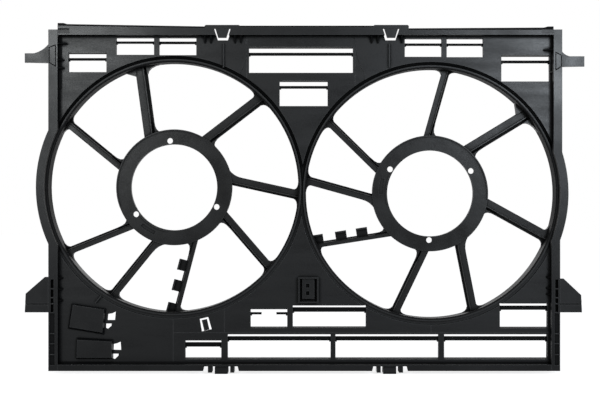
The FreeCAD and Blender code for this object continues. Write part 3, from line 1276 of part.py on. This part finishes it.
def build():
    """Every node by name."""
    nodes = {}
    nodes.update(rails())
    nodes.update(panels())
    for name, windows in FRAME_GROUPS.items():
        nodes[name] = Part.makeCompound([window_frame(w) for w in windows])
    for tag, centre, side, turn in (("left", LEFT_CENTRE, -1, 0.0), ("right", RIGHT_CENTRE, 1, MODULE_TURN)):
        nodes["fan_ring_" + tag] = fan_ring(centre, side)
        nodes["motor_ring_" + tag] = motor_ring(centre, turn)
        for name, angle, offset, width, flare_side in ARMS:
            nodes[name + "_" + tag] = arm(centre, turn, name, angle, offset, width, flare_side)
        nodes["cable_arm_" + tag] = cable_arm(centre, turn)
        nodes["ear_upper_" + tag] = upper_ear(side)
        nodes["ear_lower_" + tag] = lower_ear(side)
    for tag, latch_x, foot_x in (("left", LATCH_X[0], FOOT_X[0]), ("right", LATCH_X[1], FOOT_X[1])):
        nodes["latch_tongue_" + tag] = latch_tongue(latch_x)
        nodes["foot_" + tag] = Part.makeCompound(foot(foot_x))
    nodes["wire_clip"] = wire_clip()
    nodes["connector_bracket"] = connector_bracket()
    nodes["module_pad_upper"] = pad_cover(UPPER_PAD, UPPER_PAD_SLOPES)
    nodes["module_pad_lower"] = pad_cover(LOWER_PAD, LOWER_PAD_SLOPES)
    nodes["corner_clips"] = Part.makeCompound([corner_clip(-1), corner_clip(1)])
    return nodes


os.makedirs("parts", exist_ok=True)
for node, solid in build().items():
    save(node, solid)
    print(node, len(solid.Solids), round(solid.Volume / 1000, 2), "cm3", "valid", solid.isValid())
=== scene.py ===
import math

import bmesh
import bpy
from bpy.props import FloatProperty, FloatVectorProperty, PointerProperty
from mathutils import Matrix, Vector


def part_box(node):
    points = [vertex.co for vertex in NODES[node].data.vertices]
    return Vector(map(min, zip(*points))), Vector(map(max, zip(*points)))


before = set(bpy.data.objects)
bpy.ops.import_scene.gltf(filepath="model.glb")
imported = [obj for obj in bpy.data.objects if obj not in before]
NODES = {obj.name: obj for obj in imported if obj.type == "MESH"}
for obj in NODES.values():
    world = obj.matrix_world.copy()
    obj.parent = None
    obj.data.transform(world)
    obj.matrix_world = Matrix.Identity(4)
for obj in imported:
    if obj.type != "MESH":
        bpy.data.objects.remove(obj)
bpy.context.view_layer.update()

bl_info = {
    "name": "Fan shroud frame",
    "version": (1, 0, 0),
    "blender": (4, 5, 0),
    "location": "3D View > Sidebar > Shroud",
    "description": "Finishes and studio for a moulded twin-fan shroud frame",
    "category": "Object",
}


class MouldedFinish(bpy.types.PropertyGroup):
    """Colours and surface of the moulded plastic, with its painted shade and painted edge
    highlights.
    """

    sheet_colour: FloatVectorProperty(
        name="Sheet", description="Colour of the flat sheet", subtype="COLOR",
        size=3, min=0, max=1, default=(0.0042, 0.0044, 0.0048))
    rim_colour: FloatVectorProperty(
        name="Rims", description="Colour of the rails and fan rings", subtype="COLOR",
        size=3, min=0, max=1, default=(0.0038, 0.0040, 0.0044))
    stator_colour: FloatVectorProperty(
        name="Stators", description="Colour of the arms and motor rings", subtype="COLOR",
        size=3, min=0, max=1, default=(0.0046, 0.0047, 0.0048))
    # Painted shade: the ducts get a darker copy of the plastic's colour
    shaded_duct_colour: FloatVectorProperty(
        name="Ducts", description="Colour of the window ducts and flap bars", subtype="COLOR",
        size=3, min=0, max=1, default=(0.0030, 0.0032, 0.0036))
    detail_colour: FloatVectorProperty(
        name="Details", description="Colour of the ears, feet, tongues and pads", subtype="COLOR",
        size=3, min=0, max=1, default=(0.0038, 0.0040, 0.0044))
    sheen_roughness: FloatProperty(
        name="Roughness", description="Middle roughness of the plastic", subtype="FACTOR",
        min=0.1, max=0.9, default=0.28)
    shine: FloatProperty(
        name="Shine", description="How strongly the plastic reflects", subtype="FACTOR",
        min=0, max=1, default=0.11)
    # Painted highlight: how far the paler edges reach
    highlight_width: FloatProperty(
        name="Wear width", description="How far the paler edges reach", subtype="DISTANCE",
        min=0.0002, max=0.01, default=0.0018)
    # Painted shade: how much of the rings' painted groove shade is taken out towards the bottom
    shade_lift: FloatProperty(
        name="Dust", description="How much dust takes the dark out of the rings' lower grooves",
        subtype="FACTOR", min=0, max=1, default=0.90)
    # Painted highlight: how much paler the edges are painted
    highlight_strength: FloatProperty(
        name="Edge wear", description="How much paler the plastic is on its edges",
        subtype="FACTOR", min=0, max=0.2, default=0.028)
    # Painted shade in recesses and in corners and grooves
    recess_shade: FloatProperty(
        name="Recess shade",
        description="How much of its colour the plastic keeps behind a front face",
        subtype="FACTOR", min=0, max=1, default=0.45)
    crevice_shade: FloatProperty(
        name="Crevice shade",
        description="How much of its colour the plastic keeps in corners and grooves",
        subtype="FACTOR", min=0, max=1, default=0.30)
    crevice_reach: FloatProperty(
        name="Crevice reach", description="How far a corner's shade reaches", subtype="DISTANCE",
        min=0.0005, max=0.05, default=0.006)
    shade_rough: FloatProperty(
        name="Shade roughness", description="Roughness that fully shaded plastic has on top",
        subtype="FACTOR", min=0, max=0.6, default=0.45)
    grain_size: FloatProperty(
        name="Grain", description="Size of the mould's grain", subtype="DISTANCE",
        min=0.0002, max=0.01, default=0.0009)
    edge_radius: FloatProperty(
        name="Edge radius", description="Rounding that the light sees on moulded edges",
        subtype="DISTANCE", min=0.0, max=0.002, default=0.0005)


class StudioSetup(bpy.types.PropertyGroup):
    """Camera, floor and lamps."""

    camera_distance: FloatProperty(
        name="Camera distance", description="From the camera to the sheet", subtype="DISTANCE",
        min=0.5, max=10, default=2.5)
    view_width: FloatProperty(
        name="View width", description="Width that the picture takes in at the sheet",
        subtype="DISTANCE", min=0.2, max=3, default=0.870)
    camera_side: FloatProperty(
        name="Camera side", description="Sideways place of the camera", subtype="DISTANCE",
        default=-0.0066)
    camera_height: FloatProperty(
        name="Camera height", description="Height of the camera over the floor",
        subtype="DISTANCE", default=0.243)
    rise: FloatProperty(
        name="Rise", description="Upward shift of the picture, as a share of its width",
        subtype="FACTOR", min=-0.5, max=0.5, default=0.01)
    floor_colour: FloatVectorProperty(
        name="Floor", description="Colour of the floor", subtype="COLOR",
        size=3, min=0, max=1, default=(0.80, 0.80, 0.80))
    left_power: FloatProperty(
        name="Left soft box", description="Power of the soft box that shines on the upper left",
        subtype="POWER", min=0, max=500, default=20)
    right_power: FloatProperty(
        name="Right soft box", description="Power of the soft box that shines on the upper right",
        subtype="POWER", min=0, max=500, default=29)
    box_size: FloatProperty(
        name="Soft box size", description="Side of each soft box", subtype="DISTANCE",
        min=0.1, max=3, default=0.5)
    box_reach: FloatProperty(
        name="Soft box reach", description="How far each soft box stands to its side",
        subtype="DISTANCE", min=0, max=3, default=0.74)
    box_height: FloatProperty(
        name="Soft box height", description="Height of the soft boxes over the floor",
        subtype="DISTANCE", min=0, max=3, default=0.67)
    sky_level: FloatProperty(
        name="Sky level", description="Strength of the even light from all round",
        min=0, max=3, default=0.30)


# Materials

FLOW_SIZE = 0.045
PATCH_SIZE = 0.16
PATCH_DARK = 0.72
PATCH_LIGHT = 1.30
PATCH_MIX = (0.15, 0.85)
STREAK_TINT = (0.78, 0.79, 0.80, 1)
STREAK_MIX = (0.0, 0.55)
# Painted highlight along the edges: tint and share of the paler edge colour
HIGHLIGHT_TINT = 2.0
HIGHLIGHT_SHARE = 0.70
EDGE_FACING = (0.80, 0.995)
FLOW_ROUGH = (-0.06, 0.07)
GRAIN_ROUGH = (-0.04, 0.04)
OPEN_SHARE = (0.40, 0.92)
RIPPLE_STRENGTH = 0.25
RIPPLE_HEIGHT = 0.0012
PIT_STRENGTH = 0.35
PIT_HEIGHT = 0.00006
PLASTIC_IOR = 1.5
SHEET_STREAK = (0.35, 1.0, 1.6)
RIM_STREAK = (0.5, 1.0, 0.5)
DUCT_STREAK = (1.0, 1.0, 0.4)
# Depths behind a front face over which a painted recess shade deepens
RAIL_DEPTHS = (0.0008, 0.0012)
GROOVE_DEPTHS = (0.0012, 0.0018)
STEP_DEPTHS = (0.0010, 0.0065)
DUCT_DEPTHS = (0.0010, 0.0030)
# Heights about a ring's middle over which its painted groove shade is lifted towards the bottom
LIFT_HEIGHTS = (-0.12, 0.08)


def tree_of(name):
    """A fresh material's nodes and a function that joins two sockets."""
    material = bpy.data.materials.new(name)
    material.use_nodes = True
    nodes = material.node_tree.nodes
    links = material.node_tree.links
    nodes.clear()
    return material, nodes, links.new


def noise(nodes, join, vector, size, detail, rough):
    """Noise with features of about the given size in metres."""
    texture = nodes.new("ShaderNodeTexNoise")
    texture.inputs["Scale"].default_value = 1.0 / size
    texture.inputs["Detail"].default_value = detail
    texture.inputs["Roughness"].default_value = rough
    join(vector, texture.inputs["Vector"])
    return texture.outputs["Fac"]


def spread(nodes, join, value, low, high, from_low=0.35, from_high=0.65):
    """Maps a value's middle range onto another range."""
    ranged = nodes.new("ShaderNodeMapRange")
    ranged.inputs["From Min"].default_value = from_low
    ranged.inputs["From Max"].default_value = from_high
    ranged.inputs["To Min"].default_value = low
    ranged.inputs["To Max"].default_value = high
    join(value, ranged.inputs["Value"])
    return ranged.outputs["Result"]


def behind(nodes, join, place, span, keep, shade):
    """A painted shade that falls to a share of itself over a span of depths behind a front face.
    """
    depth = nodes.new("ShaderNodeSeparateXYZ")
    join(place, depth.inputs["Vector"])
    both = nodes.new("ShaderNodeMath")
    both.operation = "MULTIPLY"
    join(spread(nodes, join, depth.outputs["Y"], 1.0, keep, *span), both.inputs[0])
    join(shade, both.inputs[1])
    return both.outputs["Value"]


def lift_low_shade(nodes, join, place, span, amount, shade):
    """Painted shade lifted towards the bottom, over a span of heights."""
    height = nodes.new("ShaderNodeSeparateXYZ")
    join(place, height.inputs["Vector"])
    lifted = nodes.new("ShaderNodeMath")
    lifted.operation = "MAXIMUM"
    join(spread(nodes, join, height.outputs["Z"], amount, 0.0, *span), lifted.inputs[0])
    join(shade, lifted.inputs[1])
    return lifted.outputs["Value"]


def span_from(start, offsets):
    """A span given as two offsets from one place."""
    return tuple(start + offset for offset in offsets)


def moulded_plastic(name, colour, rough_shift=0.0, streak=(1.0, 1.0, 1.0),
                    recess=None, shade_lift=None):
    """Moulded plastic: grain, flow streaks and patches, with painted edge highlights, painted
    shade in corners and recesses, and that shade lifted towards the bottom.
    """
    finish = bpy.context.scene.moulded_finish
    material, nodes, join = tree_of(name)
    place = nodes.new("ShaderNodeTexCoord").outputs["Object"]
    stretch = nodes.new("ShaderNodeMapping")
    stretch.inputs["Scale"].default_value = streak
    join(place, stretch.inputs["Vector"])
    grain = noise(nodes, join, place, finish.grain_size, 2.0, 0.6)
    flow = noise(nodes, join, stretch.outputs["Vector"], FLOW_SIZE, 4.0, 0.55)
    patch = noise(nodes, join, place, PATCH_SIZE, 2.0, 0.45)

    soft = nodes.new("ShaderNodeBevel")
    soft.samples = 4
    soft.inputs["Radius"].default_value = finish.highlight_width
    true_normal = nodes.new("ShaderNodeNewGeometry").outputs["True Normal"]
    facing = nodes.new("ShaderNodeVectorMath")
    facing.operation = "DOT_PRODUCT"
    join(soft.outputs["Normal"], facing.inputs[0])
    join(true_normal, facing.inputs[1])
    # Painted highlight: the edges that the bevel finds are painted paler
    highlight_mask = spread(nodes, join, facing.outputs["Value"], 1.0, 0.0, *EDGE_FACING)

    dark = [c * PATCH_DARK for c in colour]
    light = [c * PATCH_LIGHT for c in colour]
    highlight_colour = [min(1.0, c * HIGHLIGHT_TINT + finish.highlight_strength) for c in colour]
    tone = nodes.new("ShaderNodeMix")
    tone.data_type = "RGBA"
    tone.inputs["A"].default_value = (*dark, 1)
    tone.inputs["B"].default_value = (*light, 1)
    join(spread(nodes, join, patch, *PATCH_MIX), tone.inputs["Factor"])
    streaked = nodes.new("ShaderNodeMix")
    streaked.data_type = "RGBA"
    streaked.blend_type = "MULTIPLY"
    streaked.inputs["B"].default_value = STREAK_TINT
    join(spread(nodes, join, flow, *STREAK_MIX), streaked.inputs["Factor"])
    join(tone.outputs["Result"], streaked.inputs["A"])
    highlighted = nodes.new("ShaderNodeMix")
    highlighted.data_type = "RGBA"
    highlighted.inputs["B"].default_value = (*highlight_colour, 1)
    amount = nodes.new("ShaderNodeMath")
    amount.operation = "MULTIPLY"
    amount.inputs[1].default_value = HIGHLIGHT_SHARE
    join(highlight_mask, amount.inputs[0])
    join(amount.outputs["Value"], highlighted.inputs["Factor"])
    join(streaked.outputs["Result"], highlighted.inputs["A"])

    middle = finish.sheen_roughness + rough_shift + finish.shade_rough
    rough = nodes.new("ShaderNodeMath")
    rough.operation = "ADD"
    join(spread(nodes, join, flow, *span_from(middle, FLOW_ROUGH)), rough.inputs[0])
    join(spread(nodes, join, grain, *GRAIN_ROUGH), rough.inputs[1])

    # Painted shade: corners and grooves darken by ambient occlusion and recesses by depth; the
    # same shade lowers the shine and raises the roughness
    occlusion = nodes.new("ShaderNodeAmbientOcclusion")
    occlusion.samples = 8
    occlusion.inputs["Distance"].default_value = finish.crevice_reach
    shade = spread(nodes, join, occlusion.outputs["AO"], finish.crevice_shade, 1.0, *OPEN_SHARE)
    if recess:
        shade = behind(nodes, join, place, recess, finish.recess_shade, shade)
    # Painted shade: the rings' groove shade is lifted towards the bottom
    if shade_lift:
        shade = lift_low_shade(nodes, join, place, shade_lift, finish.shade_lift, shade)
    shaded = nodes.new("ShaderNodeVectorMath")
    shaded.operation = "SCALE"
    join(highlighted.outputs["Result"], shaded.inputs[0])
    join(shade, shaded.inputs["Scale"])
    shine = nodes.new("ShaderNodeMath")
    shine.operation = "MULTIPLY"
    shine.inputs[1].default_value = finish.shine
    join(shade, shine.inputs[0])
    duller = nodes.new("ShaderNodeMath")
    duller.operation = "MULTIPLY_ADD"
    duller.inputs[1].default_value = -finish.shade_rough
    join(shade, duller.inputs[0])
    join(rough.outputs["Value"], duller.inputs[2])

    corner = nodes.new("ShaderNodeBevel")
    corner.samples = 6
    corner.inputs["Radius"].default_value = finish.edge_radius
    ripple = nodes.new("ShaderNodeBump")
    ripple.inputs["Strength"].default_value = RIPPLE_STRENGTH
    ripple.inputs["Distance"].default_value = RIPPLE_HEIGHT
    join(flow, ripple.inputs["Height"])
    join(corner.outputs["Normal"], ripple.inputs["Normal"])
    pits = nodes.new("ShaderNodeBump")
    pits.inputs["Strength"].default_value = PIT_STRENGTH
    pits.inputs["Distance"].default_value = PIT_HEIGHT
    join(grain, pits.inputs["Height"])
    join(ripple.outputs["Normal"], pits.inputs["Normal"])

    shader = nodes.new("ShaderNodeBsdfPrincipled")
    shader.inputs["IOR"].default_value = PLASTIC_IOR
    join(shine.outputs["Value"], shader.inputs["Specular IOR Level"])
    join(shaded.outputs["Vector"], shader.inputs["Base Color"])
    join(duller.outputs["Value"], shader.inputs["Roughness"])
    join(pits.outputs["Normal"], shader.inputs["Normal"])
    join(shader.outputs["BSDF"], nodes.new("ShaderNodeOutputMaterial").inputs["Surface"])
    return material


def dress(material, names):
    """Puts a material on CAD nodes."""
    for name in names:
        NODES[name].data.materials.clear()
        NODES[name].data.materials.append(material)


def named(*starts):
    """CAD nodes whose names start with any of these words."""
    return [name for name in NODES if name.startswith(starts)]


class SHROUD_OT_sheet(bpy.types.Operator):
    """Give the flat sheet its moulded finish"""

    bl_idname = "shroud.sheet"
    bl_label = "Sheet finish"

    def execute(self, context):
        colour = context.scene.moulded_finish.sheet_colour
        sheet = moulded_plastic("sheet_plastic", colour, 0.02, SHEET_STREAK)
        dress(sheet, named("panel", "lower_grille"))
        return {"FINISHED"}


class SHROUD_OT_rims(bpy.types.Operator):
    """Give the rails and fan rings their moulded finish"""

    bl_idname = "shroud.rims"
    bl_label = "Rail and ring finish"

    def execute(self, context):
        colour = context.scene.moulded_finish.rim_colour
        flange_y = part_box("rail_left")[0].y
        rim_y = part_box("fan_ring_left")[0].y
        # Painted shade: the rails darken behind their flange and the rings in their groove
        walls = span_from(flange_y, RAIL_DEPTHS)
        groove = span_from(rim_y, GROOVE_DEPTHS)
        middle = (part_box("fan_ring_left")[0].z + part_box("fan_ring_left")[1].z) / 2
        rail = moulded_plastic("rail_plastic", colour, -0.02, RIM_STREAK, walls)
        # Painted shade: the rings' groove shade is lifted below their middle
        lower = span_from(middle, LIFT_HEIGHTS)
        ring = moulded_plastic("ring_plastic", colour, 0.08, RIM_STREAK, groove, lower)
        dress(rail, named("rail"))
        dress(ring, named("fan_ring"))
        return {"FINISHED"}


class SHROUD_OT_stators(bpy.types.Operator):
    """Give the arms and motor rings their moulded finish"""

    bl_idname = "shroud.stators"
    bl_label = "Stator finish"

    def execute(self, context):
        colour = context.scene.moulded_finish.stator_colour
        ridge_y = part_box("arm_1_left")[0].y
        # Painted shade: the arms darken on their steps behind the ridge
        steps = span_from(ridge_y, STEP_DEPTHS)
        stator = moulded_plastic("stator_plastic", colour, -0.02, recess=steps)
        dress(stator, named("arm", "cable_arm", "motor_ring"))
        return {"FINISHED"}


class SHROUD_OT_ducts(bpy.types.Operator):
    """Give the window ducts and their flap bars a moulded finish"""

    bl_idname = "shroud.ducts"
    bl_label = "Duct finish"

    def execute(self, context):
        colour = context.scene.moulded_finish.shaded_duct_colour
        sheet_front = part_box("panel_lower_left")[0].y
        # Painted shade: darker colour, and shade that deepens behind the sheet's front
        walls = span_from(sheet_front, DUCT_DEPTHS)
        duct = moulded_plastic("duct_plastic", colour, 0.12, DUCT_STREAK, walls)
        dress(duct, named("flap_frame"))
        return {"FINISHED"}


class SHROUD_OT_details(bpy.types.Operator):
    """Give the ears, feet, tongues, pads and clips a moulded finish"""

    bl_idname = "shroud.details"
    bl_label = "Detail finish"

    def execute(self, context):
        colour = context.scene.moulded_finish.detail_colour
        names = named("ear", "foot", "latch", "wire_clip", "connector", "module", "corner")
        dress(moulded_plastic("detail_plastic", colour), names)
        return {"FINISHED"}


# Stage

FLOOR_REACH = 12.0
FLOOR_WHITE = 0.78
SKY_TINT = (0.92, 0.94, 0.97, 1)
LAMP_TARGET = (0, 0, 0.25)
LAMP_DEPTH = -2.2
LEFT_TINT = (0.95, 0.99, 1.0)
RIGHT_TINT = (0.86, 0.93, 1.0)
SENSOR_WIDTH = 36
CLIP_END = 60


def seen_directly(nodes, join):
    """1 for rays from the camera and for mirrored and transmitted ones, and 0 for the rest."""
    path = nodes.new("ShaderNodeLightPath")
    shown = path.outputs["Is Camera Ray"]
    for kind in ("Is Glossy Ray", "Is Transmission Ray"):
        either = nodes.new("ShaderNodeMath")
        either.operation = "MAXIMUM"
        join(shown, either.inputs[0])
        join(path.outputs[kind], either.inputs[1])
        shown = either.outputs["Value"]
    return shown


def area_light(name, power, size, place, target):
    """Soft square lamp aimed at a point."""
    lamp = bpy.data.lights.new(name, "AREA")
    lamp.energy = power
    lamp.shape = "RECTANGLE"
    lamp.size = size
    lamp.size_y = size
    holder = bpy.data.objects.new(name, lamp)
    holder.location = place
    aim = Vector(target) - Vector(place)
    holder.rotation_euler = aim.to_track_quat("-Z", "Y").to_euler()
    bpy.context.scene.collection.objects.link(holder)
    return holder


class SHROUD_OT_stage(bpy.types.Operator):
    """Set up the floor, the sky, the lamps and the camera"""

    bl_idname = "shroud.stage"
    bl_label = "Studio"

    def execute(self, context):
        scene = context.scene
        studio = scene.studio_setup
        scene.view_settings.view_transform = "Standard"
        mesh = bpy.data.meshes.new("floor")
        shape = bmesh.new()
        bmesh.ops.create_grid(shape, x_segments=1, y_segments=1, size=FLOOR_REACH)
        shape.to_mesh(mesh)
        shape.free()
        floor = bpy.data.objects.new("floor", mesh)
        scene.collection.objects.link(floor)
        mesh.materials.append(self.floor_material(studio.floor_colour))
        self.sky(scene, studio.sky_level)
        boxes = (("left_box", -1, studio.left_power, LEFT_TINT),
                 ("right_box", 1, studio.right_power, RIGHT_TINT))
        for name, side, power, tint in boxes:
            place = (side * studio.box_reach, LAMP_DEPTH, studio.box_height)
            area_light(name, power, studio.box_size, place, LAMP_TARGET).data.color = tint
        camera = bpy.data.cameras.new("camera")
        camera.sensor_width = SENSOR_WIDTH
        camera.lens = SENSOR_WIDTH * studio.camera_distance / studio.view_width
        camera.shift_y = studio.rise
        camera.clip_end = CLIP_END
        holder = bpy.data.objects.new("camera", camera)
        sheet_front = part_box("panel_lower_left")[0].y
        camera_y = sheet_front - studio.camera_distance
        holder.location = (studio.camera_side, camera_y, studio.camera_height)
        holder.rotation_euler = (math.radians(90), 0, 0)
        scene.collection.objects.link(holder)
        scene.camera = holder
        return {"FINISHED"}

    def floor_material(self, colour):
        """White floor that keeps the object's shadow."""
        material, nodes, join = tree_of("floor_paint")
        diffuse = nodes.new("ShaderNodeBsdfDiffuse")
        diffuse.inputs["Color"].default_value = (*colour, 1)
        white = nodes.new("ShaderNodeEmission")
        white.inputs["Strength"].default_value = FLOOR_WHITE
        lit = nodes.new("ShaderNodeAddShader")
        join(diffuse.outputs["BSDF"], lit.inputs[0])
        join(white.outputs["Emission"], lit.inputs[1])
        pick = nodes.new("ShaderNodeMixShader")
        join(seen_directly(nodes, join), pick.inputs["Fac"])
        join(diffuse.outputs["BSDF"], pick.inputs[1])
        join(lit.outputs["Shader"], pick.inputs[2])
        join(pick.outputs["Shader"], nodes.new("ShaderNodeOutputMaterial").inputs["Surface"])
        return material

    def sky(self, scene, level):
        """Even pale light, seen as white by the camera."""
        world = bpy.data.worlds.new("studio_sky")
        scene.world = world
        world.use_nodes = True
        nodes = world.node_tree.nodes
        join = world.node_tree.links.new
        nodes.clear()
        lit = nodes.new("ShaderNodeBackground")
        lit.inputs["Color"].default_value = SKY_TINT
        lit.inputs["Strength"].default_value = level
        white = nodes.new("ShaderNodeBackground")
        white.inputs["Color"].default_value = (1, 1, 1, 1)
        pick = nodes.new("ShaderNodeMixShader")
        join(seen_directly(nodes, join), pick.inputs["Fac"])
        join(lit.outputs["Background"], pick.inputs[1])
        join(white.outputs["Background"], pick.inputs[2])
        join(pick.outputs["Shader"], nodes.new("ShaderNodeOutputWorld").inputs["Surface"])


class SHROUD_PT_panel(bpy.types.Panel):
    """Steps of the shroud frame, with their sizes and colours"""

    bl_idname = "SHROUD_PT_panel"
    bl_label = "Shroud frame"
    bl_space_type = "VIEW_3D"
    bl_region_type = "UI"
    bl_category = "Shroud"

    def draw(self, context):
        for settings, steps in GROUPS:
            box = self.layout.box()
            group = getattr(context.scene, settings)
            for key in group.__annotations__:
                box.prop(group, key)
            for step in steps:
                box.operator(step.bl_idname)


GROUPS = (
    ("moulded_finish", (SHROUD_OT_sheet, SHROUD_OT_rims, SHROUD_OT_stators, SHROUD_OT_ducts,
                        SHROUD_OT_details)),
    ("studio_setup", (SHROUD_OT_stage,)),
)
CLASSES = (MouldedFinish, StudioSetup, SHROUD_OT_sheet, SHROUD_OT_rims, SHROUD_OT_stators,
           SHROUD_OT_ducts, SHROUD_OT_details, SHROUD_OT_stage, SHROUD_PT_panel)


def register():
    """Add the classes and their settings."""
    for item in CLASSES:
        bpy.utils.register_class(item)
    bpy.types.Scene.moulded_finish = PointerProperty(type=MouldedFinish)
    bpy.types.Scene.studio_setup = PointerProperty(type=StudioSetup)


def unregister():
    """Take the classes and their settings away."""
    del bpy.types.Scene.studio_setup
    del bpy.types.Scene.moulded_finish
    for item in reversed(CLASSES):
        bpy.utils.unregister_class(item)


def main():
    """Run every step in order."""
    register()
    bpy.ops.shroud.stage()
    bpy.ops.shroud.sheet()
    bpy.ops.shroud.rims()
    bpy.ops.shroud.stators()
    bpy.ops.shroud.ducts()
    bpy.ops.shroud.details()


if __name__ == "__main__":
    main()
